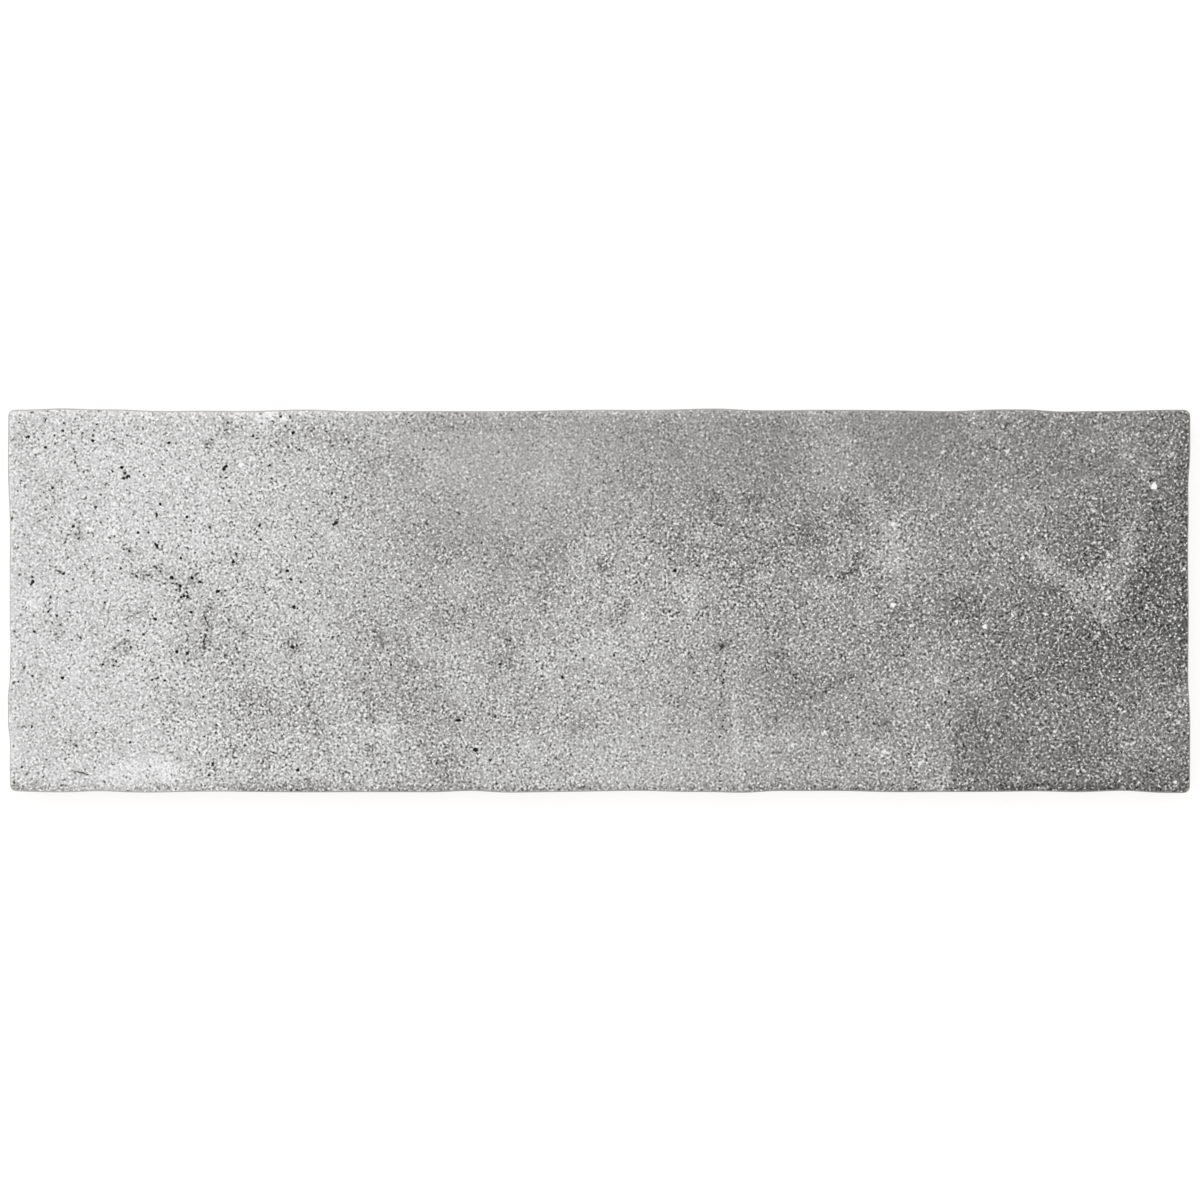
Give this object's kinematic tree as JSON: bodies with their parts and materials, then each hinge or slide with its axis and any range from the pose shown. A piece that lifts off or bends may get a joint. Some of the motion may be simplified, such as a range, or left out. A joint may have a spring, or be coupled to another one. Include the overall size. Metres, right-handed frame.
{
  "type": "textured wall tile",
  "caption": "Rectangular brick-format ceramic wall tile with gently wavy, softly rounded edges, a matt concrete-look grey face and a shallow keyed back for bonding.",
  "frame": {"origin": "middle of the back plane, with the tile lying face up", "axes": "+X along the length, +Y across the width, +Z out of the glazed face"},
  "size_m": [0.2006, 0.0653, 0.0083],
  "materials": {
    "tile": "matt, fine-grained concrete look"
  },
  "bodies": {
    "root": {"tile": "tile"}
  },
  "joints": []
}
